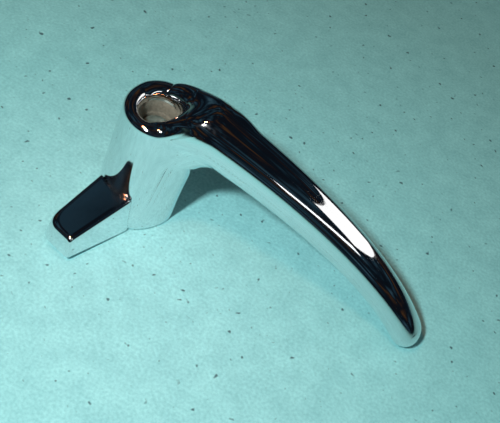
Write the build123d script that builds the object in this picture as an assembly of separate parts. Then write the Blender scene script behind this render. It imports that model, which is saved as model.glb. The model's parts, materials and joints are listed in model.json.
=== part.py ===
from build123d import *
import os
from math import cos, pi, radians, sin, sqrt

# Chrome lever handle on a fixed pivot spindle. Millimetres, +Z up the pivot axis.
# Origin: centre of the spindle's bottom face, which bolts down flat.
# The arm points along +X, and the latch tongue stands out to the side of the hub.

# ---- driving dimensions -------------------------------------------------------------
HUB_BASE_Z = 0.3          # the lever clears the mounting surface by this much
HUB_BASE_R = 12.6
HUB_TOP_R = 10.3
CROWN_R = 2.15            # half width of the rounded ring on top of the hub
HUB_TOP_Z = 38.0
CROWN_Z = HUB_TOP_Z - CROWN_R
BORE_R = 6.0
MOUTH_R = HUB_TOP_R - 2 * CROWN_R

ARM_CURVE = ((-0.7, 41.2), (28.5, 38.0), (68.9, 26.3), (88.1, 5.2))   # x, z control points
ARM_HALF_HEIGHT = (9.0, 6.6, 4.45)                                    # root, middle, tip
ARM_HALF_WIDTH = (8.75, 6.85, 5.55)
ARM_SQUARENESS = 2.06     # superellipse exponent of the arm's section, 2 is an ellipse
ARM_TIP_REACH = 5.35      # how far the round end goes past the end of the curve
ARM_ROOT_SPAN = 0.16      # share of the curve over which the root swells out of the hub
ARM_ROOT_SHARES = (0.06, 0.2, 0.4, 0.7)   # sections along that swell
ARM_TIP_ANGLES = (25, 45, 65, 80)         # sections round the end
ARM_SECTIONS = 10
OUTLINE_POINTS = 24

WEB_SECTIONS = ((HUB_BASE_Z, 11.8, 7.5), (6, 12.1, 7.4), (12, 12.7, 7.3), (18, 13.4, 7.1),
                (23, 14.8, 6.9), (27, 17.0, 6.5), (30, 19.5, 6.0), (33, 22.0, 5.0))   # z, reach, half width
WEB_BACK_X = -2.0         # the web's sections end here, inside the hub

TONGUE_AZIMUTH = -107.0
TONGUE_START_X = 8.0      # inside the hub, whose shape is cut away from the tongue
TONGUE_ROOT_X = 11.0
TONGUE_STRAIGHT = 8.0     # length of the back edge before it turns in
TONGUE_NOSE_X = 31.0
TONGUE_ROOT_HALF = 6.0
TONGUE_NOSE_HALF = 3.9
TONGUE_BACK_EXTRA = 0.6   # the nose is wider at the back by this much
TONGUE_NOSE_RADIUS = 3.0  # round corner at the back of the nose
TONGUE_DRAFT = 1.7        # how much further out each side is at the bottom
TONGUE_ROOT_Z = 12.0
TONGUE_NOSE_Z = 8.3
TONGUE_NOSE_LIFT = 1.6    # underside rises by this much at the nose
TENON_HALF = 3.5
TENON_Z = (4.5, 10.5)
TENON_X = (8.4, 13.5)
TONGUE_PIN_X = 10.9
TONGUE_PIN_Y = 2.1
TONGUE_PIN_R = 0.8
TONGUE_PIN_Z = (0.6, 11.2)

FLANGE_R = 9.6
FLANGE_H = 3.2
SEAL_R = 0.55             # rubber ring in the flange's rim
SEAL_RING_R = 9.1
SEAL_Z = 0.95
COUNTERBORE_R = 9.75
COUNTERBORE_H = 3.8
SPINDLE_R = 4.5
SPINDLE_TOP_Z = 21.5
THREAD_R = 2.5            # tapping size for an M6 fixing screw
THREAD_DEPTH = 8.8
LOCATING_X = 6.9
LOCATING_R = 1.25
LOCATING_DEPTH = 2.0
SLIP = 0.05               # radial play of sliding and turning fits

WASHER_R = (SPINDLE_R + 0.1, 5.8)
WASHER_H = 0.6
DISC_R = (SPINDLE_R + 0.2, 5.7)
DISC_Z = (3.85, 4.35)     # underside at the inner and outer rim
DISC_T = 0.4

BUSH_Z = (4.8, 21.0)
BUSH_GROOVE_R = 5.15      # groove in the bush that the lock balls sit in
BUSH_GROOVE_HALF = 1.7
STOP_RADIUS = 7.5
STOP_R = 1.0
STOP_Z = (1.9, 9.8)
STOP_SLOT_Z = 1.6
STOP_PLAY = 0.15
STOP_AZIMUTH = 225.0
LEVER_TRAVEL = 90.0

BALL_R = 1.5
BALL_Z = 16.0
BALL_Y = 3.53
BALL_HOLE_START = 1.0

DETENT_AZIMUTH = 110.0
DETENT_Z = 9.0
DETENT_BALL_R = 1.25
DETENT_BALL_X = 5.45
DETENT_HOLE_X = (4.0, 9.6)
DETENT_TRACK = 0.4        # depth of the groove that the detent ball runs in
DETENT_TRACK_HALF = 1.1
DETENT_COIL_R = 0.9
DETENT_WIRE_R = 0.18
DETENT_COIL_X = (6.75, 9.55)
DETENT_COIL_TURNS = 5
PLUG_R = 2.0
PLUG_X = (9.6, 11.8)
PLUG_SOCKET_R = 0.9
PLUG_SOCKET_X = 10.9

BUTTON_R = 3.9
BUTTON_TOP_Z = 31.3
BUTTON_TRAVEL = 2.5
BUTTON_FLANGE_R = 4.6
BUTTON_FLANGE_Z = (27.0, 28.15)
BUTTON_BEVEL = 0.3
BUTTON_DISH_R = (2.2, 2.6)
BUTTON_DISH = 0.35
BUTTON_GROOVE_Z = (29.4, 30.1)
BUTTON_GROOVE = 0.6       # depth of the groove for the button's seal
BUTTON_SEAL_R = 0.3
CUP_Z = (24.0, 36.2)
CUP_SHOULDER_Z = 28.2
CUP_LIP_R = 5.75
CUP_STEPS = ((5.0, 34.0), (4.35, 32.2))   # radius, z of the stepped cone round the button

PLUNGER_R = 2.0
PLUNGER_Z = (13.2, 27.0)
PLUNGER_BORE_Z = 10.2
PLUNGER_CHAMFER = 0.4
PLUNGER_STUD_R = 1.2      # the stud that the button is pressed onto
NECK_SLOPE = 0.25         # the neck's cone loses this much radius for each unit of height
NECK_BELOW = 0.3
NECK_ABOVE = 1.0
NECK_LAND = 0.5
NECK_RUNOUT = 0.7

BUTTON_COIL_R = 3.1
BUTTON_WIRE_R = 0.3
BUTTON_COIL_GAP = 0.02
BUTTON_COIL_TURNS = 4


ON_BASE = (Align.CENTER, Align.CENTER, Align.MIN)


def rod(radius, low, high):
    """A plain rod on the pivot axis."""
    return Pos(0, 0, low) * Cylinder(radius, high - low, align=ON_BASE)


def ring(inner, outer, low, high):
    """A plain ring about the pivot axis."""
    return rod(outer, low, high) - rod(inner, low, high)


def turned(points):
    """A body turned about the pivot axis from its half section, given as (radius, z) points."""
    return revolve(make_face(Plane.XZ * Polyline(*points, close=True)), Axis.Z)


def radial_rod(radius, inner, outer, z, azimuth):
    """A rod that points away from the pivot axis."""
    body = Cylinder(radius, outer - inner, align=ON_BASE)
    return Rot(0, 0, azimuth) * Pos(inner, 0, z) * Rot(0, 90, 0) * body


def arc_slot(radius, half_width, low, high, start, sweep_angle):
    """A curved slot about the pivot axis with round ends."""
    section = Rectangle(2 * half_width, high - low, align=(Align.CENTER, Align.MIN))
    profile = Plane.XZ * (Pos(radius, low) * section)
    slot = Rot(0, 0, start) * revolve(profile, Axis.Z, sweep_angle)
    for angle in (start, start + sweep_angle):
        slot += Rot(0, 0, angle) * Pos(radius, 0, 0) * rod(half_width, low, high)
    return slot


# ---- arm ----------------------------------------------------------------------------
def arm_point(s):
    """Point and unit direction (x, z) on the arm's centre curve, s from 0 to 1."""
    p0, p1, p2, p3 = ARM_CURVE
    r = 1 - s
    point = [r**3 * a + 3 * r * r * s * b + 3 * r * s * s * c + s**3 * d
             for a, b, c, d in zip(p0, p1, p2, p3)]
    slope = [r * r * (b - a) + 2 * r * s * (c - b) + s * s * (d - c)
             for a, b, c, d in zip(p0, p1, p2, p3)]
    length = sqrt(slope[0] ** 2 + slope[1] ** 2)
    return point, [v / length for v in slope]


def along(values, s):
    """A smooth size through the root, middle and tip values."""
    root, middle, tip = values
    return root * (1 - s) * (1 - 2 * s) + middle * 4 * s * (1 - s) + tip * s * (2 * s - 1)


def arm_section(point, direction, half_width, half_height):
    """A superellipse across the arm."""
    plane = Plane((point[0], 0, point[1]), x_dir=(0, 1, 0), z_dir=(direction[0], 0, direction[1]))
    power = 2 / ARM_SQUARENESS
    outline = []
    for step in range(OUTLINE_POINTS):
        c = cos(2 * pi * step / OUTLINE_POINTS)
        s = sin(2 * pi * step / OUTLINE_POINTS)
        across = half_width * abs(c) ** power * (1 if c >= 0 else -1)
        up = half_height * abs(s) ** power * (1 if s >= 0 else -1)
        outline.append((across, up))
    return make_face(plane * Spline(*outline, periodic=True))


def arm():
    sections = []
    steps = [ARM_ROOT_SPAN * share for share in ARM_ROOT_SHARES]
    steps += [ARM_ROOT_SPAN + (1 - ARM_ROOT_SPAN) * step / ARM_SECTIONS for step in range(ARM_SECTIONS + 1)]
    for s in steps:
        point, direction = arm_point(s)
        swell = sqrt(1 - (1 - min(s / ARM_ROOT_SPAN, 1)) ** 2)
        sections.append(arm_section(point, direction,
                                    swell * along(ARM_HALF_WIDTH, s),
                                    swell * along(ARM_HALF_HEIGHT, s)))
    end, direction = arm_point(1)
    for angle in ARM_TIP_ANGLES:
        reach = ARM_TIP_REACH * sin(radians(angle))
        point = [end[0] + reach * direction[0], end[1] + reach * direction[1]]
        shrink = cos(radians(angle))
        sections.append(arm_section(point, direction,
                                    shrink * ARM_HALF_WIDTH[2], shrink * ARM_HALF_HEIGHT[2]))
    return loft(sections, ruled=True)


# ---- lever casting and tongue -------------------------------------------------------
def hub_outside():
    """The tapered hub, its rounded crown and the web that carries the arm."""
    base = Pos(0, 0, HUB_BASE_Z)
    cone = base * Cone(HUB_BASE_R, HUB_TOP_R, CROWN_Z - HUB_BASE_Z, align=ON_BASE)
    crown = Pos(0, 0, CROWN_Z) * Torus(HUB_TOP_R - CROWN_R, CROWN_R)
    web = loft([Pos((reach + WEB_BACK_X) / 2, 0, z) * Ellipse((reach - WEB_BACK_X) / 2, half)
                for z, reach, half in WEB_SECTIONS], ruled=True)
    return cone + crown + web


def tongue_wedge():
    """The tongue's drafted wedge, along +X before it is turned to its azimuth."""
    def outline(z, widen):
        root = TONGUE_ROOT_HALF + widen
        nose = TONGUE_NOSE_HALF + widen
        end = TONGUE_NOSE_X + widen
        start = TONGUE_START_X
        back = -nose - TONGUE_BACK_EXTRA
        points = ((end, nose), (start, root), (start, -root), (start + TONGUE_STRAIGHT, -root), (end, back))
        face = make_face(Plane.XY.offset(z) * Polyline(*points, close=True))
        back_corner = face.vertices().sort_by_distance((end, back, z))[0]
        return fillet(back_corner, TONGUE_NOSE_RADIUS + widen)

    wedge = loft([outline(HUB_BASE_Z, TONGUE_DRAFT), outline(TONGUE_ROOT_Z + 1, 0)], ruled=True)
    bend_x = TONGUE_ROOT_X + 1
    far_x = TONGUE_NOSE_X + 4
    high = 2 * TONGUE_ROOT_Z
    above = Polyline((0, TONGUE_ROOT_Z), (bend_x, TONGUE_ROOT_Z), (TONGUE_NOSE_X + 1, TONGUE_NOSE_Z),
                     (TONGUE_NOSE_X + 1, high), (0, high), close=True)
    below = Polyline((bend_x + 1, 0), (bend_x + 1, HUB_BASE_Z), (far_x, TONGUE_NOSE_LIFT), (far_x, 0),
                     close=True)
    for outline_2d in (above, below):
        wedge -= extrude(make_face(Plane.XZ * outline_2d), far_x, both=True)
    return wedge


def tenon():
    length = TENON_X[1] - TENON_X[0]
    block = Box(length, 2 * TENON_HALF, TENON_Z[1] - TENON_Z[0], align=(Align.MIN, Align.CENTER, Align.MIN))
    return Pos(TENON_X[0], 0, TENON_Z[0]) * block


def tongue_pins():
    pins = [Pos(TONGUE_PIN_X, side * TONGUE_PIN_Y, 0) * rod(TONGUE_PIN_R, *TONGUE_PIN_Z) for side in (-1, 1)]
    return [turn_to_tongue * pin for pin in pins]


turn_to_tongue = Rot(0, 0, TONGUE_AZIMUTH)
stop_pin = Rot(0, 0, STOP_AZIMUTH) * Pos(STOP_RADIUS, 0, 0) * rod(STOP_R, *STOP_Z)
pins = tongue_pins()

detent_plug = radial_rod(PLUG_R, *PLUG_X, DETENT_Z, DETENT_AZIMUTH)
detent_plug -= radial_rod(PLUG_SOCKET_R, PLUG_SOCKET_X, HUB_BASE_R, DETENT_Z, DETENT_AZIMUTH)
detent_ball = Rot(0, 0, DETENT_AZIMUTH) * Pos(DETENT_BALL_X, 0, DETENT_Z) * Sphere(DETENT_BALL_R)
detent_hole = radial_rod(DETENT_BALL_R + SLIP, *DETENT_HOLE_X, DETENT_Z, DETENT_AZIMUTH)

hub = hub_outside()
casting = hub + arm()
casting -= rod(MOUTH_R, CROWN_Z, 2 * HUB_TOP_Z)
casting -= rod(BORE_R, COUNTERBORE_H, CROWN_Z)
casting -= rod(COUNTERBORE_R, -1, COUNTERBORE_H)
casting -= turn_to_tongue * tenon()
casting -= stop_pin
casting -= detent_hole
casting -= radial_rod(PLUG_R, PLUG_X[0], HUB_BASE_R + 1, DETENT_Z, DETENT_AZIMUTH)

tongue = turn_to_tongue * tongue_wedge() - hub
tongue += turn_to_tongue * tenon()
for pin in pins:
    casting -= pin
    tongue -= pin


# ---- pivot and its fittings -----------------------------------------------------------
def spindle():
    body = rod(FLANGE_R, 0, FLANGE_H) + rod(SPINDLE_R, FLANGE_H, SPINDLE_TOP_Z)
    body -= rod(THREAD_R, 0, THREAD_DEPTH)
    body -= rod(PLUNGER_R + SLIP, PLUNGER_BORE_Z, SPINDLE_TOP_Z)
    body -= ring(SEAL_RING_R - SEAL_R, FLANGE_R + 1, SEAL_Z - SEAL_R, SEAL_Z + SEAL_R)
    body -= arc_slot(STOP_RADIUS, STOP_R + STOP_PLAY, STOP_SLOT_Z, FLANGE_H, STOP_AZIMUTH, LEVER_TRAVEL)
    track = Pos(0, 0, DETENT_Z) * ring(SPINDLE_R - DETENT_TRACK, SPINDLE_R + 1, -DETENT_TRACK_HALF, DETENT_TRACK_HALF)
    body -= track
    for side in (0, 180):
        body -= Rot(0, 0, side) * Pos(LOCATING_X, 0, 0) * rod(LOCATING_R, 0, LOCATING_DEPTH)
    for azimuth in (90, -90):
        body -= radial_rod(BALL_R + SLIP, BALL_HOLE_START, SPINDLE_R + 1, BALL_Z, azimuth)
    return body


def bush():
    body = ring(SPINDLE_R + SLIP, BORE_R, *BUSH_Z)
    body -= ring(SPINDLE_R - 1, BUSH_GROOVE_R, BALL_Z - BUSH_GROOVE_HALF, BALL_Z + BUSH_GROOVE_HALF)
    return body - detent_hole


def cup():
    hole = BUTTON_R + SLIP
    pocket = BUTTON_FLANGE_R + 2 * SLIP
    return turned(((BORE_R, CUP_Z[0]), (BORE_R, CUP_Z[1]), (CUP_LIP_R, CUP_Z[1]), *CUP_STEPS,
                   (hole, BUTTON_TOP_Z), (hole, CUP_SHOULDER_Z), (pocket, CUP_SHOULDER_Z),
                   (pocket, CUP_Z[0])))


def button():
    low, high = BUTTON_FLANGE_Z
    groove_low, groove_high = BUTTON_GROOVE_Z
    groove_r = BUTTON_R - BUTTON_GROOVE
    dish_z = BUTTON_TOP_Z - BUTTON_DISH
    return turned(((PLUNGER_STUD_R, low), (BUTTON_FLANGE_R, low), (BUTTON_FLANGE_R, high), (BUTTON_R, high),
                   (BUTTON_R, groove_low), (groove_r, groove_low), (groove_r, groove_high),
                   (BUTTON_R, groove_high), (BUTTON_R, BUTTON_TOP_Z - BUTTON_BEVEL), (BUTTON_R - BUTTON_BEVEL, BUTTON_TOP_Z),
                   (BUTTON_DISH_R[1], BUTTON_TOP_Z), (BUTTON_DISH_R[0], dish_z), (0, dish_z),
                   (0, groove_low), (PLUNGER_STUD_R, groove_low)))


def plunger():
    """The stem under the button: its cone lets the lock balls drop in as it goes down."""
    low, high = PLUNGER_Z
    neck_low = BALL_Z - NECK_BELOW
    neck_high = BALL_Z + BUTTON_TRAVEL + NECK_ABOVE
    neck_r = PLUNGER_R - NECK_SLOPE * (neck_high - neck_low)
    land_z = neck_high + NECK_LAND
    return turned(((0, low), (PLUNGER_R - PLUNGER_CHAMFER, low), (PLUNGER_R, low + PLUNGER_CHAMFER),
                   (PLUNGER_R, neck_low), (neck_r, neck_high), (neck_r, land_z),
                   (PLUNGER_R, land_z + NECK_RUNOUT), (PLUNGER_R, high), (PLUNGER_STUD_R, high),
                   (PLUNGER_STUD_R, BUTTON_GROOVE_Z[0]), (0, BUTTON_GROOVE_Z[0])))


def coil(mean_radius, wire_radius, low, high, turns):
    """A compression spring with its axis on +Z."""
    height = high - low - 2 * wire_radius
    path = Pos(0, 0, low + wire_radius) * Helix(height / turns, height, mean_radius)
    section = Plane(path @ 0, z_dir=path % 0) * Circle(wire_radius)
    return sweep(section, path=path)


def disc():
    inner, outer = DISC_R
    low, high = DISC_Z
    return turned(((inner, low), (outer, high), (outer, high + DISC_T), (inner, low + DISC_T)))


to_detent = Rot(0, 0, DETENT_AZIMUTH) * Pos(0, 0, DETENT_Z) * Rot(0, 90, 0)

parts = {
    "pivot_spindle": spindle(),
    "flange_seal": Pos(0, 0, SEAL_Z) * Torus(SEAL_RING_R, SEAL_R),
    "thrust_washer": ring(*WASHER_R, FLANGE_H, FLANGE_H + WASHER_H),
    "disc_spring": disc(),
    "lever_casting": casting,
    "latch_tongue": tongue,
    "tongue_pins": Compound(children=pins),
    "hub_bush": bush(),
    "stop_pin": stop_pin,
    "detent_ball": detent_ball,
    "detent_spring": to_detent * coil(DETENT_COIL_R, DETENT_WIRE_R, *DETENT_COIL_X, DETENT_COIL_TURNS),
    "detent_plug": detent_plug,
    "recess_cup": cup(),
    "lock_button": button(),
    "lock_plunger": plunger(),
    "button_seal": Pos(0, 0, sum(BUTTON_GROOVE_Z) / 2) * Torus(BUTTON_R - BUTTON_SEAL_R, BUTTON_SEAL_R),
    "button_spring": coil(BUTTON_COIL_R, BUTTON_WIRE_R, SPINDLE_TOP_Z + BUTTON_COIL_GAP, BUTTON_FLANGE_Z[0],
                          BUTTON_COIL_TURNS),
    "lock_ball_left": Pos(0, BALL_Y, BALL_Z) * Sphere(BALL_R),
    "lock_ball_right": Pos(0, -BALL_Y, BALL_Z) * Sphere(BALL_R),
}

os.makedirs("parts", exist_ok=True)
for name, shape in parts.items():
    export_step(shape, f"parts/{name}.step")
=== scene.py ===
import json
import math

import bpy
import numpy as np
from mathutils import Matrix, Vector


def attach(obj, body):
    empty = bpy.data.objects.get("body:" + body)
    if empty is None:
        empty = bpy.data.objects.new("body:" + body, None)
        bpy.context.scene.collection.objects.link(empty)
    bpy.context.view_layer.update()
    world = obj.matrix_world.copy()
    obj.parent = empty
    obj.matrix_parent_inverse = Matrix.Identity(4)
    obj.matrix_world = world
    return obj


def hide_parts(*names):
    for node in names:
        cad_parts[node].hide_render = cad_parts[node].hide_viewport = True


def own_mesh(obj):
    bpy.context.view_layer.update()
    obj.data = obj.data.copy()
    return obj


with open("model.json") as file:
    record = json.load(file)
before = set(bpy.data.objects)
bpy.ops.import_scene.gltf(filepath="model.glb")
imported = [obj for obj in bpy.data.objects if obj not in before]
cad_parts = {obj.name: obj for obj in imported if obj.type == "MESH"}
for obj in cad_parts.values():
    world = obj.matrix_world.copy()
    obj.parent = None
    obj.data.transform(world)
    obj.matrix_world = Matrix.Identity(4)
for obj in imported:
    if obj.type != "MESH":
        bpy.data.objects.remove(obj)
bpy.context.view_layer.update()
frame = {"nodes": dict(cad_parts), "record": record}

MM = 0.001

# ---- sizes in millimetres, in the frame of the CAD model ------------------------------
HUB_BASE_Z = 0.3
HUB_BASE_R = 12.1
HUB_TOP_R = 10.2
CROWN_R = 2.4
NEAR_CROWN_DROP = 0.4
CROWN_Z = 36.4
CROWN_LEAN = 0.07
MOUTH_R = HUB_TOP_R - 2 * CROWN_R
MOUTH_Z = 34.6

ARM_CURVE = np.array(((-0.7, 41.2), (28.5, 38.0), (68.9, 26.3), (88.1, 5.2)))
ARM_HALF_HEIGHT = (9.0, 6.6, 4.45)
ARM_HALF_WIDTH = (8.75, 6.85, 5.55)
ARM_SQUARENESS = 2.06
ARM_TIP_REACH = 5.33
ARM_ROOT_SPAN = 0.2
ARM_ROOT_OFFSET = 1.5
PARTING_DROP = 1.0

BORE_R = 6.0
BORE_LOW = 3.8
FLANGE_ROOM_R = 9.75
HUB_WEB_BLEND = 2.5

TONGUE_AZIMUTH = math.radians(-107.0)
TONGUE_DRAFT = 1.7 / 12.4
TONGUE_NARROWING = 2.1 / 20.0
TONGUE_BACK_NARROWING = 1.8 / 20.0
TONGUE_TOP_SLOPE = 3.7 / 19.0
TONGUE_GAP = 0.12

SPRING_R = 3.1
SPRING_WIRE = 0.29
SPRING_LOW = 21.52
SPRING_HIGH = 27.0
SPRING_TURNS = 4


# ---- shape fields: negative inside, in millimetres ------------------------------------
def smooth_min(a, b, k):
    """The smaller of two fields, with a fillet of about k where they meet."""
    h = np.clip(0.5 + 0.5 * (b - a) / k, 0, 1)
    return b * (1 - h) + a * h - k * h * (1 - h)


def smooth_max(a, b, k):
    """The larger of two fields, with its edge rounded by about k."""
    return -smooth_min(-a, -b, k)


def fade(share):
    """A smooth step from 0 to 1."""
    return share * share * (3 - 2 * share)


def along(values, s):
    """A size at share s of the arm, from its values at the root, the middle and the tip."""
    root, middle, tip = values
    return root * (1 - s) * (1 - 2 * s) + middle * 4 * s * (1 - s) + tip * s * (2 * s - 1)


def arm_curve(s):
    """Point, first and second derivative of the arm's centre curve."""
    p0, p1, p2, p3 = ARM_CURVE
    s = np.asarray(s)[..., None]
    r = 1 - s
    point = r**3 * p0 + 3 * r * r * s * p1 + 3 * r * s * s * p2 + s**3 * p3
    slope = 3 * (r * r * (p1 - p0) + 2 * r * s * (p2 - p1) + s * s * (p3 - p2))
    bend = 6 * (r * (p2 - 2 * p1 + p0) + s * (p3 - 2 * p2 + p1))
    return point, slope, bend


def arm_coords(x, z):
    """Curve share s, height off the curve and reach past the tip, for points of the XZ plane."""
    flat = np.stack([x.ravel(), z.ravel()], -1)
    steps = np.linspace(0, 1, 40)
    curve = arm_curve(steps)[0]
    nearest = np.empty(len(flat), dtype=int)
    for start in range(0, len(flat), 20000):
        part = flat[start:start + 20000]
        gap = ((part[:, None, :] - curve[None]) ** 2).sum(-1)
        nearest[start:start + 20000] = gap.argmin(1)
    s = steps[nearest]
    for _ in range(4):
        point, slope, bend = arm_curve(s)
        away = point - flat
        first = (away * slope).sum(-1)
        second = (slope * slope).sum(-1) + (away * bend).sum(-1)
        s = np.clip(s - first / np.where(second > 1, second, 1), 0, 1)
    point, slope, _ = arm_curve(s)
    unit = slope / np.linalg.norm(slope, axis=-1, keepdims=True)
    away = flat - point
    up = -unit[:, 1] * away[:, 0] + unit[:, 0] * away[:, 1]
    past = (away * unit).sum(-1)
    return s.reshape(x.shape), up.reshape(x.shape), past.reshape(x.shape)


def arm_field(x, y, z):
    """The curved arm: an oval section along its centre curve, with rounded ends."""
    s, up, past = arm_coords(x, z)
    swell = np.sqrt(np.maximum(1 - (1 - np.minimum(s / ARM_ROOT_SPAN, 1)) ** 2, 0.003))
    width = swell * along(ARM_HALF_WIDTH, s)
    height = swell * along(ARM_HALF_HEIGHT, s)
    n = ARM_SQUARENESS
    y = y - ARM_ROOT_OFFSET * np.clip(1 - s / 0.25, 0, 1) ** 2
    cross = ((np.abs(y) / width) ** n + (np.abs(up) / height) ** n) ** (1 / n)
    beyond = np.where(s > 0.5, np.maximum(past, 0) * height / ARM_TIP_REACH, past)
    ratio = np.sqrt(cross**2 + (beyond / height) ** 2) + 1e-6
    reach = np.sqrt(y * y + up * up + beyond * beyond)
    return reach * (1 - 1 / ratio)


def near_side(r, y):
    """1 on the hub's near side (-Y), 0 on its far side."""
    return fade(np.clip(-y / np.maximum(r, 1), 0, 1))


def hub_field(x, y, z):
    """The tapered hub with the rounded ring on top, which leans and thins on its near side."""
    share = np.clip((z - HUB_BASE_Z) / (CROWN_Z - HUB_BASE_Z), 0, 1)
    flare = np.clip((12 - z) / 10, 0, 1)
    squeeze = np.where(y < 0, 0.08, 0.03) * (0.35 * (1 - share) + 0.65 * flare)
    r = np.sqrt((x + 0.35 * (1 - share)) ** 2 + (y * (1 - squeeze)) ** 2)
    z = z - CROWN_LEAN * y * np.clip((z - 20) / 16, 0, 1)
    taper = math.atan((HUB_BASE_R - HUB_TOP_R) / (CROWN_Z - HUB_BASE_Z))
    lean, level = math.sin(taper), math.cos(taper)
    crown_r = CROWN_R - NEAR_CROWN_DROP * near_side(r, y)
    out = r - (HUB_TOP_R - crown_r / level)
    rise = z - CROWN_Z
    wall = out * level + rise * lean - crown_r
    cone = np.maximum(smooth_max(wall, HUB_BASE_Z - z, 0.5), rise * level - out * lean)
    crown = np.sqrt(out**2 + rise**2) - crown_r
    return np.minimum(cone, crown)


def web_field(x, y, z):
    """The rounded rib on the hub's arm side, which flares into the arm's underside."""
    reach = 11.2 + 0.115 * np.clip(z, 0, 30) + 4 * np.clip((z - 20) / 12, 0, 1) ** 2
    centre = (reach - 4) / 2
    across = 7.2
    ratio = np.sqrt(((x - centre) / (reach - centre)) ** 2 + (y / across) ** 2) + 1e-6
    side = np.sqrt((x - centre) ** 2 + y * y) * (1 - 1 / ratio)
    return smooth_max(smooth_max(side, HUB_BASE_Z - z, 0.5), z - 38, 3)


def parting_line(x, y, z):
    """Height of the mould's parting line: a fine groove on the arm, a flat bead down the hub."""
    s, up, _ = arm_coords(x, z)
    offset = up + PARTING_DROP * (0.5 + 0.6 * s)
    on_arm = np.clip((x - 15) / 3, 0, 1) * np.clip((np.abs(y) - 1.5) / 1.5, 0, 1)
    groove = -0.13 * np.exp(-(offset / 0.2) ** 2) * on_arm
    line_x = 6.2 + 0.105 * z + 3.8 * np.clip((z - 22) / 14, 0, 1) ** 2.2
    off = (x - line_x) / (1 + 0.5 * np.clip((z - 26) / 10, 0, 1))
    on_hub = np.clip((z - 4) / 8, 0, 1) * np.clip((28 - z) / 4, 0, 1) * np.clip((np.abs(y) - 5) / 1, 0, 1)
    bead = 0.12 * np.exp(-(off / 0.42) ** 4) - 0.24 * np.exp(-((np.abs(off) - 0.7) / 0.17) ** 2)
    return groove + bead * on_hub * np.clip((16 - x) / 2, 0, 1)


def hub_outer(x, y, z):
    return smooth_min(hub_field(x, y, z), web_field(x, y, z), HUB_WEB_BLEND)


def casting_field(x, y, z):
    """Hub, web and arm in one, with the recess in the top and the bore below it."""
    far = fade(np.clip((y + 2) / 8, 0, 1))
    low = np.clip((33 - z) / 6, 0, 1)
    blend = 4.5 + 6.5 * far * (1 - low) + 4.5 * low
    body = smooth_min(hub_outer(x, y, z), arm_field(x, y, z), blend)
    r = np.sqrt(x * x + y * y)
    above = np.clip(z - 38, 0, 10)
    spoon = above * (0.35 + 0.05 * above * np.clip(x / 6, 0, 1))
    mouth = MOUTH_R + 2 * NEAR_CROWN_DROP * near_side(r, y) - 0.6 * np.clip(z - 36.2, 0, 1)
    recess = smooth_max(r - mouth - spoon, MOUTH_Z - z, 0.1)
    body = smooth_max(body, -recess, 0.6 + 5 * np.clip(above / 5, 0, 1))
    bore = np.maximum(np.maximum(r - BORE_R, BORE_LOW - z), z - MOUTH_Z)
    body = np.maximum(body, -bore)
    return np.maximum(body, -np.maximum(r - FLANGE_ROOM_R, z - BORE_LOW))


def detailed_casting(x, y, z):
    return casting_field(x, y, z) - parting_line(x, y, z)


def tongue_field(x, y, z):
    """The wedge at the hub's foot, with u outwards from the pivot and v across it."""
    c, s = math.cos(TONGUE_AZIMUTH), math.sin(TONGUE_AZIMUTH)
    u = x * c + y * s
    v = -x * s + y * c
    slant = 1 / math.sqrt(1 + TONGUE_DRAFT * TONGUE_DRAFT)
    drafted = TONGUE_DRAFT * (z - 12.7)
    front = (v - (6.0 - TONGUE_NARROWING * (u - 11.0)) + drafted) * slant
    back = (-v - (6.3 - TONGUE_BACK_NARROWING * (u - 11.0)) + drafted) * slant
    nose = (u - 31.0 + drafted) * slant
    top = (z - (12.0 - TONGUE_TOP_SLOPE * (u - 12.0))) * 0.98
    low = np.maximum(HUB_BASE_Z - z, (HUB_BASE_Z + 1.3 / 21.0 * (u - 13.0)) - z)
    sides = smooth_max(front, nose, 1.0)
    sides = smooth_max(sides, back, 4.5)
    body = smooth_max(sides, top, 1.5)
    body = smooth_max(body, low, 0.4)
    return smooth_max(body, TONGUE_GAP - hub_outer(x, y, z), 1.0)


# ---- meshing ---------------------------------------------------------------------------
def slope_of(field, p, eps=0.02):
    """The field's gradient at points p, one row each."""
    out = np.empty_like(p)
    for axis in range(3):
        step = np.zeros(3)
        step[axis] = eps
        out[:, axis] = (field(*(p + step).T) - field(*(p - step).T)) / (2 * eps)
    return out


def settle(field, p, rounds=4, limit=0.3):
    """Moves points onto the field's zero surface."""
    for _ in range(rounds):
        g = slope_of(field, p)
        size = np.maximum((g * g).sum(-1), 0.05)
        move = (field(*p.T) / size)[:, None] * g
        length = np.linalg.norm(move, axis=1, keepdims=True)
        p = p - move * np.minimum(1, limit / np.maximum(length, 1e-9))
    return p


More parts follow.
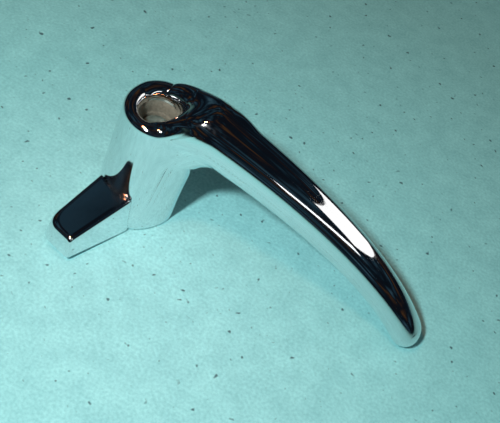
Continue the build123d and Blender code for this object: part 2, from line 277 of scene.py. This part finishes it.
def surface(field, low, high, pitch):
    """Surface nets: vertices and quads of the field's zero surface."""
    axes = [np.arange(a, b + pitch, pitch) for a, b in zip(low, high)]
    values = np.empty([len(a) for a in axes])
    for i in range(0, len(axes[0]), 24):
        grid = np.meshgrid(axes[0][i:i + 24], axes[1], axes[2], indexing="ij")
        values[i:i + 24] = field(*grid)
    inside = values < 0
    shape = [n - 1 for n in values.shape]

    def corner(a, dx, dy, dz):
        return a[dx:dx + shape[0], dy:dy + shape[1], dz:dz + shape[2]]

    count = sum(corner(inside, *d).astype(np.int8) for d in np.ndindex(2, 2, 2))
    mixed = (count > 0) & (count < 8)
    cell = np.argwhere(mixed)
    index = -np.ones(shape, dtype=int)
    index[mixed] = np.arange(len(cell))
    total = np.zeros((len(cell), 3))
    hits = np.zeros(len(cell))
    for axis in range(3):
        for other in np.ndindex(2, 2):
            a = np.insert(other, axis, 0)
            b = np.insert(other, axis, 1)
            va = values[tuple((cell + a).T)]
            vb = values[tuple((cell + b).T)]
            cross = (va < 0) != (vb < 0)
            share = np.where(cross, va / np.where(va == vb, 1, va - vb), 0)
            spot = cell + a + share[:, None] * (b - a)
            total += np.where(cross[:, None], spot, 0)
            hits += cross
    verts = total / hits[:, None] * pitch + np.array(low)
    quads = []
    for axis in range(3):
        u, v = (axis + 1) % 3, (axis + 2) % 3
        first = inside.take(range(inside.shape[axis] - 1), axis)
        second = inside.take(range(1, inside.shape[axis]), axis)
        for out_first in (True, False):
            edge = np.argwhere((first != second) & (first == out_first))
            keep = (edge[:, u] > 0) & (edge[:, v] > 0) & (edge[:, u] < shape[u]) & (edge[:, v] < shape[v])
            edge = edge[keep]
            ring = []
            for du, dv in ((1, 1), (0, 1), (0, 0), (1, 0)):
                near = edge.copy()
                near[:, u] -= du
                near[:, v] -= dv
                ring.append(index[tuple(near.T)])
            quad = np.stack(ring, -1)
            quads.append(quad if out_first else quad[:, ::-1])
    return verts, np.concatenate(quads)


def relax(field, verts, quads, rounds=3):
    """Evens out the quads while the vertices stay on the surface."""
    a = quads.ravel()
    b = np.roll(quads, -1, axis=1).ravel()
    ends = np.concatenate([a, b])
    others = np.concatenate([b, a])
    count = np.bincount(ends, minlength=len(verts))
    for _ in range(rounds):
        mean = np.stack([np.bincount(ends, verts[others, i], len(verts)) for i in range(3)], -1)
        mean = mean / np.maximum(count, 1)[:, None]
        verts = settle(field, verts + 0.6 * (mean - verts), 2)
    return verts


def mesh_object(name, verts, faces, normals=None):
    """A smooth-shaded object from vertices in millimetres."""
    mesh = bpy.data.meshes.new(name)
    mesh.from_pydata((verts * MM).tolist(), [], faces)
    mesh.validate()
    mesh.polygons.foreach_set("use_smooth", [True] * len(mesh.polygons))
    if normals is not None and len(normals) == len(mesh.vertices):
        mesh.normals_split_custom_set_from_vertices(normals.tolist())
    mesh.update()
    thing = bpy.data.objects.new(name, mesh)
    bpy.context.scene.collection.objects.link(thing)
    return thing


def split(verts, quads):
    """Each quad becomes four."""
    count = len(verts)
    ends = np.stack([quads, np.roll(quads, -1, axis=1)], -1).reshape(-1, 2)
    pairs, edge = np.unique(np.sort(ends, axis=1), axis=0, return_inverse=True)
    edge = edge.reshape(-1, 4) + count
    middle = np.arange(len(quads)) + count + len(pairs)
    verts = np.concatenate([verts, verts[pairs].mean(1), verts[quads].mean(1)])
    parts = [np.stack([quads[:, i], edge[:, i], middle, edge[:, i - 1]], -1) for i in range(4)]
    return verts, np.concatenate(parts)


def field_object(name, field, low, high, pitch, detailed=None):
    """The field's zero surface as an object; relief in detailed is added on the finer mesh."""
    verts, quads = surface(field, low, high, pitch)
    verts = settle(field, verts)
    verts = relax(field, verts, quads)
    detailed = detailed or field
    verts, quads = split(verts, quads)
    verts = settle(detailed, verts)
    verts[:, 2] = np.maximum(verts[:, 2], HUB_BASE_Z - 0.05)
    normals = slope_of(detailed, verts)
    normals /= np.linalg.norm(normals, axis=1, keepdims=True)
    return mesh_object(name, verts, quads.tolist(), normals)


# ---- materials -------------------------------------------------------------------------
def material(name):
    mat = bpy.data.materials.new(name)
    mat.use_nodes = True
    nodes = mat.node_tree.nodes
    return mat, nodes, mat.node_tree.links, nodes["Principled BSDF"]


def object_coords(nodes):
    return nodes.new("ShaderNodeTexCoord").outputs["Object"]


def noise(nodes, links, vector, scale, detail):
    texture = nodes.new("ShaderNodeTexNoise")
    texture.inputs["Scale"].default_value = scale
    texture.inputs["Detail"].default_value = detail
    links.new(vector, texture.inputs["Vector"])
    return texture.outputs["Fac"]


def color_ramp(nodes, links, share, stops):
    """The colour at a share from 0 to 1, through (position, colour) stops."""
    ramp = nodes.new("ShaderNodeValToRGB")
    for position, _ in stops[1:-1]:
        ramp.color_ramp.elements.new(position)
    for element, (position, color) in zip(ramp.color_ramp.elements, stops):
        element.position = position
        element.color = (*color, 1)
    links.new(share, ramp.inputs["Fac"])
    return ramp.outputs["Color"]


def set_roughness(nodes, links, share, shader, low, high, start=0.0, end=1.0):
    """Roughness from low to high as share goes from start to end."""
    spread = nodes.new("ShaderNodeMapRange")
    spread.inputs["From Min"].default_value = start
    spread.inputs["From Max"].default_value = end
    spread.inputs["To Min"].default_value = low
    spread.inputs["To Max"].default_value = high
    links.new(share, spread.inputs["Value"])
    links.new(spread.outputs["Result"], shader.inputs["Roughness"])


def set_bump(nodes, links, height, shader, strength, distance):
    bump = nodes.new("ShaderNodeBump")
    bump.inputs["Strength"].default_value = strength
    bump.inputs["Distance"].default_value = distance
    links.new(height, bump.inputs["Height"])
    links.new(bump.outputs["Normal"], shader.inputs["Normal"])


def chrome_material():
    mat, nodes, links, shader = material("chrome")
    shader.inputs["Metallic"].default_value = 1
    shader.inputs["Base Color"].default_value = (0.80, 0.82, 0.83, 1)
    coords = object_coords(nodes)
    set_roughness(nodes, links, noise(nodes, links, coords, 900, 4), shader, 0.03, 0.09, 0.35, 0.75)
    set_bump(nodes, links, noise(nodes, links, coords, 130, 3), shader, 0.05, 0.0003)
    return mat


def plain_metal(name, color, roughness, metallic=1.0, grain=700, depth=0.0001):
    """A dull material with a fine grain in its colour, roughness and surface."""
    mat, nodes, links, shader = material(name)
    shader.inputs["Metallic"].default_value = metallic
    grain_share = noise(nodes, links, object_coords(nodes), grain, 6)
    dark = [0.75 * c for c in color]
    light = [min(1.15 * c, 1) for c in color]
    links.new(color_ramp(nodes, links, grain_share, ((0.3, dark), (0.7, light))), shader.inputs["Base Color"])
    set_roughness(nodes, links, grain_share, shader, roughness * 0.8, min(roughness * 1.2, 1))
    set_bump(nodes, links, grain_share, shader, 0.4, depth)
    return mat


def dress(thing, mat):
    """Gives an object one material."""
    thing.data.materials.clear()
    thing.data.materials.append(mat)


chrome = chrome_material()
unplated = plain_metal("unplated", (0.150, 0.158, 0.125), 0.8, 0.1, 1500, 0.0002)
button_metal = plain_metal("button", (0.095, 0.145, 0.130), 0.5, 0.3, 1200, 0.0002)
steel = plain_metal("steel", (0.55, 0.55, 0.54), 0.3)
spring_steel = plain_metal("spring_steel", (0.35, 0.35, 0.36), 0.35)
bronze = plain_metal("bronze", (0.60, 0.42, 0.20), 0.4)
brass = plain_metal("brass", (0.75, 0.58, 0.28), 0.35)
nylon = plain_metal("nylon", (0.80, 0.79, 0.72), 0.5, 0.0)
rubber = plain_metal("rubber", (0.02, 0.02, 0.02), 0.7, 0.0)
BY_SLOT = {
    "chrome_plate": chrome, "unplated_metal": unplated, "dull_button": button_metal, "stainless": steel,
    "spring_steel": spring_steel, "bronze": bronze, "brass_plug": brass, "nylon": nylon, "seal_rubber": rubber,
}
for part in frame["record"]["subparts"]:
    dress(frame["nodes"][part["node"]], BY_SLOT[part["material_slot"]])

# ---- visible pieces ---------------------------------------------------------------------
casting = field_object("lever_body", casting_field, (-14, -13.5, -0.4), (96, 13.5, 52), 0.55, detailed_casting)
dress(casting, chrome)
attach(casting, "lever")
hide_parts("lever_casting")

tongue = field_object("tongue_body", tongue_field, (-17, -36, -0.4), (9, -5, 13.5), 0.4)
dress(tongue, chrome)
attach(tongue, "lever")
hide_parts("latch_tongue")


def lathe(name, loop, mat, rides, replaced, steps=96):
    """A body turned about the pivot axis from a closed loop of (radius, z) points in millimetres."""
    angles = np.arange(steps) * 2 * math.pi / steps
    rows = [np.stack([r * np.cos(angles), r * np.sin(angles), np.full(steps, z)], -1) for r, z in loop]
    here = np.arange(steps)
    after = (here + 1) % steps
    faces = []
    for i in range(len(loop)):
        j = (i + 1) % len(loop)
        faces.append(np.stack([i * steps + here, i * steps + after, j * steps + after, j * steps + here], -1))
    thing = mesh_object(name, np.concatenate(rows), np.concatenate(faces).tolist())
    thing.data.set_sharp_from_angle(angle=math.radians(35))
    dress(thing, mat)
    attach(thing, rides)
    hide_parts(replaced)


CUP_LOOP = (
    (5.95, 24.1), (5.95, 36.1), (5.75, 36.1), (5.3, 35.2), (4.98, 34.0), (4.8, 33.0), (4.75, 32.0), (4.7, 31.7),
    (4.55, 31.5), (4.5, 31.2), (4.45, 29.9), (4.0, 29.9), (4.0, 28.3), (4.7, 28.2), (4.7, 24.1),
)
BUTTON_LOOP = (
    (2.1, 27.1), (4.55, 27.1), (4.55, 28.05), (3.85, 28.1), (3.85, 31.0), (3.78, 31.2), (3.6, 31.3),
    (2.75, 31.3), (2.6, 31.25), (2.2, 31.0), (1.2, 30.95), (0.1, 30.95), (0.1, 29.5), (2.1, 29.5),
)
lathe("cup_body", CUP_LOOP, unplated, "lever", "recess_cup")
lathe("button_body", BUTTON_LOOP, button_metal, "button", "lock_button")


def coil(name, radius, wire, low, high, turns, steps=32, sides=12):
    """A compression spring about the pivot axis, with closed ends."""
    turn = np.linspace(0, 2 * math.pi * turns, turns * steps + 1)[:, None]
    ring = np.arange(sides)[None] * 2 * math.pi / sides
    reach = radius + wire * np.cos(ring)
    height = low + wire + (high - low - 2 * wire) * turn / turn[-1] + wire * np.sin(ring)
    verts = np.stack([reach * np.cos(turn), reach * np.sin(turn), height], -1).reshape(-1, 3)
    here = np.arange(turns * steps)[:, None] * sides
    side = np.arange(sides)[None]
    after = (side + 1) % sides
    quads = np.stack([here + after, here + side, here + sides + side, here + sides + after], -1).reshape(-1, 4)
    last = turns * steps * sides
    faces = quads.tolist() + [list(range(sides)), [last + i for i in reversed(range(sides))]]
    return mesh_object(name, verts, faces)


spring = coil("press_spring", SPRING_R, SPRING_WIRE, SPRING_LOW, SPRING_HIGH, SPRING_TURNS)
dress(spring, spring_steel)
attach(spring, "button")
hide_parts("button_spring")
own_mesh(spring)


# ---- stage, light and camera -------------------------------------------------------------
TABLE_HALF_SIZE = 1.2
# Size and place of the pool of light painted into the table's colour, standing in for the flash's fall-off.
LIT_PATCH_SCALE = 5
LIT_PATCH_SHIFT = (-0.10, 0.20, 0)


def floor():
    """A plain aqua table with a paper-like grain, a few specks and a painted pool of light in front of the hub,
    brightest in its middle.
    """
    mesh = bpy.data.meshes.new("table")
    far = TABLE_HALF_SIZE
    corners = [(-far, -far, 0), (far, -far, 0), (far, far, 0), (-far, far, 0)]
    mesh.from_pydata(corners, [], [(0, 1, 2, 3)])
    thing = bpy.data.objects.new("table", mesh)
    bpy.context.scene.collection.objects.link(thing)
    mat, nodes, links, shader = material("table_paper")
    coords = object_coords(nodes)
    place = nodes.new("ShaderNodeMapping")
    place.inputs["Scale"].default_value = (LIT_PATCH_SCALE,) * 3
    place.inputs["Location"].default_value = LIT_PATCH_SHIFT
    links.new(coords, place.inputs["Vector"])
    # Painted light: a spherical gradient multiplies the table colour, bright in front of the hub and darker
    # farther off.
    painted_light_pool = nodes.new("ShaderNodeTexGradient")
    painted_light_pool.gradient_type = "SPHERICAL"
    links.new(place.outputs["Vector"], painted_light_pool.inputs["Vector"])
    grain = noise(nodes, links, coords, 1100, 7)
    specks = noise(nodes, links, coords, 420, 1)
    clouds = noise(nodes, links, coords, 140, 4)
    color = color_ramp(nodes, links, grain, ((0.3, (0.265, 0.65, 0.68)), (0.7, (0.365, 0.81, 0.84))))
    for share, stops in (
        (specks, ((0.22, (0.25, 0.25, 0.27)), (0.30, (1, 1, 1)))),
        (clouds, ((0.3, (0.84, 0.87, 0.88)), (0.7, (1, 1, 1)))),
        (painted_light_pool.outputs["Fac"], ((0.0, (0.62, 0.67, 0.64)), (0.5, (0.72, 0.83, 0.82)), (0.9, (1, 1, 1)))),
    ):
        times = nodes.new("ShaderNodeMixRGB")
        times.blend_type = "MULTIPLY"
        times.inputs["Fac"].default_value = 1
        links.new(color, times.inputs["Color1"])
        links.new(color_ramp(nodes, links, share, stops), times.inputs["Color2"])
        color = times.outputs["Color"]
    links.new(color, shader.inputs["Base Color"])
    shader.inputs["Roughness"].default_value = 0.9
    shader.inputs["Specular IOR Level"].default_value = 0.15
    dress(thing, mat)


floor()

CAMERA_ELEVATION = math.radians(47.1)
CAMERA_AZIMUTH = math.radians(-83.9)
CAMERA_ROLL = math.radians(23.5)
CAMERA_DISTANCE = 0.2555
CAMERA_TARGET = Vector((0, 0, 0.020))
CAMERA_SHIFT = (-0.0288, 0.0168)
FOCAL_PIXELS = 900
IMAGE_WIDTH = 500


def camera():
    """The scene's camera; returns its right, up and back directions."""
    back = Vector((math.cos(CAMERA_AZIMUTH) * math.cos(CAMERA_ELEVATION),
                   math.sin(CAMERA_AZIMUTH) * math.cos(CAMERA_ELEVATION),
                   math.sin(CAMERA_ELEVATION)))
    level = Vector((-math.sin(CAMERA_AZIMUTH), math.cos(CAMERA_AZIMUTH), 0))
    upright = back.cross(level)
    c, s = math.cos(CAMERA_ROLL), math.sin(CAMERA_ROLL)
    right = c * level + s * upright
    up = -s * level + c * upright
    data = bpy.data.cameras.new("camera")
    data.sensor_width = 36
    data.lens = FOCAL_PIXELS / IMAGE_WIDTH * 36
    data.clip_start = 0.01
    data.clip_end = 20
    data.dof.use_dof = False
    thing = bpy.data.objects.new("camera", data)
    bpy.context.scene.collection.objects.link(thing)
    spot = CAMERA_TARGET + CAMERA_DISTANCE * back - CAMERA_SHIFT[0] * right - CAMERA_SHIFT[1] * up
    thing.matrix_world = Matrix(((right.x, up.x, back.x, spot.x), (right.y, up.y, back.y, spot.y),
                                 (right.z, up.z, back.z, spot.z), (0, 0, 0, 1)))
    bpy.context.scene.camera = thing
    return right, up, back


cam_right, cam_up, cam_back = camera()


def panel(name, spot, aim, size, power, color):
    """A rectangular area light at spot that faces aim."""
    data = bpy.data.lights.new(name, "AREA")
    data.shape = "RECTANGLE"
    data.size, data.size_y = size
    data.energy = power
    data.color = color
    thing = bpy.data.objects.new(name, data)
    bpy.context.scene.collection.objects.link(thing)
    thing.location = spot
    thing.rotation_euler = (Vector(aim) - Vector(spot)).to_track_quat("-Z", "Y").to_euler()
    return thing


MIDDLE = Vector((0.02, 0, 0.02))
ARM_MIDDLE = (0.055, 0, 0.03)
PANEL_DISTANCE = 0.6
LAMP_DISTANCE = 0.42


def toward(azimuth, elevation, distance):
    """The point at a distance from the middle of the arm, in a direction given in degrees."""
    azimuth, elevation = math.radians(azimuth), math.radians(elevation)
    level = math.cos(elevation)
    away = Vector((math.cos(azimuth) * level, math.sin(azimuth) * level, math.sin(elevation)))
    return Vector(ARM_MIDDLE) + distance * away


def beside_camera(up, left):
    """A point on the camera's side of the object, metres above and to the left of the view line."""
    return MIDDLE + LAMP_DISTANCE * cam_back + up * cam_up - left * cam_right


panel("flash", beside_camera(0.07, 0.09), MIDDLE, (0.035, 0.035), 2.0, (1, 1, 0.98))
panel("lamp", beside_camera(0.24, 0.06), MIDDLE, (0.05, 0.05), 0.6, (1.0, 0.27, 0.09))


def slanted_panel(name, left, right, height, power, color):
    """An area light that spans two directions (azimuth, elevation) seen from the arm."""
    a, b = toward(*left, PANEL_DISTANCE), toward(*right, PANEL_DISTANCE)
    middle = (a + b) / 2
    across = (b - a).normalized()
    out = (middle - Vector(ARM_MIDDLE)).normalized()
    out = (out - out.dot(across) * across).normalized()
    up = out.cross(across)
    thing = panel(name, middle, ARM_MIDDLE, ((b - a).length, height), power, color)
    turned = Matrix((across, up, out)).transposed()
    thing.rotation_euler = turned.to_euler()


slanted_panel("window", (-4, 46), (64, 10), 0.16, 0.42, (1, 0.98, 0.96))
slanted_panel("strip", (-64, 33), (-17, 35), 0.045, 0.10, (0.97, 0.99, 1))


def room():
    """A dim room above the table: dark blue, with brown and teal patches for the chrome to pick up."""
    world = bpy.data.worlds.new("room")
    world.use_nodes = True
    nodes, links = world.node_tree.nodes, world.node_tree.links
    coords = nodes.new("ShaderNodeTexCoord")
    mapping = nodes.new("ShaderNodeMapping")
    mapping.inputs["Scale"].default_value = (1.2, 1.2, 3.5)
    links.new(coords.outputs["Generated"], mapping.inputs["Vector"])
    patches = noise(nodes, links, mapping.outputs["Vector"], 2.2, 3)
    stops = ((0.30, (0.050, 0.024, 0.010)), (0.42, (0.004, 0.005, 0.008)), (0.52, (0.003, 0.006, 0.010)),
             (0.62, (0.012, 0.030, 0.045)), (0.75, (0.040, 0.085, 0.110)))
    links.new(color_ramp(nodes, links, patches, stops), nodes["Background"].inputs["Color"])
    bpy.context.scene.world = world


room()
bpy.context.scene.view_settings.view_transform = "Standard"
